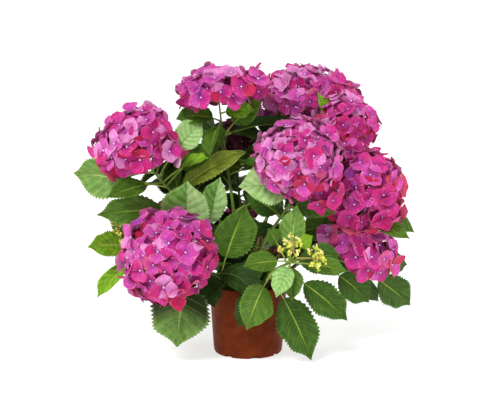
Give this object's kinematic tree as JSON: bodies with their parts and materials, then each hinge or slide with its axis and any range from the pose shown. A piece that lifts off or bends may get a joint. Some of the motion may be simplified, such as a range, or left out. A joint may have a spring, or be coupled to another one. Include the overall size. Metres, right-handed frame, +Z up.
{
  "type": "potted hydrangea shrub",
  "caption": "Mophead hydrangea in a round plastic nursery pot: woody canes, broad toothed leaves, large domed flower heads and small tufts of unopened buds.",
  "frame": {"origin": "centre of the pot's flat underside", "axes": "+Z up from the surface that the pot stands on, -Y towards the plant's front, +X to its right"},
  "size_m": [0.631, 0.4551, 0.5349],
  "materials": {
    "pot_plastic": "satin",
    "compost": "matte",
    "cane": "matte",
    "leaf": "satin",
    "petal": "matte",
    "shaded_petal": "matte",
    "bud": "matte"
  },
  "bodies": {
    "root": {"pot": "pot_plastic", "compost": "compost", "cane_lowleft": "cane", "cane_centre": "cane", "cane_left": "cane", "cane_farleft": "cane", "cane_topleft": "cane", "cane_top": "cane", "cane_topright": "cane", "cane_front": "cane", "cane_right": "cane", "cane_lowright": "cane", "cane_back": "cane", "cane_backright": "cane", "cane_backleft": "cane", "cane_backlow": "cane", "cane_highleft": "cane", "head_lowleft": "petal", "buds_centre": "bud", "head_left": "petal", "buds_farleft": "bud", "head_topleft": "petal", "head_top": "petal", "head_topright": "petal", "head_front": "petal", "head_right": "petal", "head_lowright": "petal", "head_back": "shaded_petal", "head_backright": "petal", "head_backleft": "petal", "head_backlow": "petal", "foliage_lowleft": "leaf", "foliage_centre": "leaf", "foliage_left": "leaf", "foliage_farleft": "leaf", "foliage_topleft": "leaf", "foliage_top": "leaf", "foliage_topright": "leaf", "foliage_front": "leaf", "foliage_right": "leaf", "foliage_lowright": "leaf", "foliage_back": "leaf", "foliage_backright": "leaf", "foliage_backleft": "leaf", "foliage_backlow": "leaf", "foliage_highleft": "leaf"}
  },
  "joints": []
}
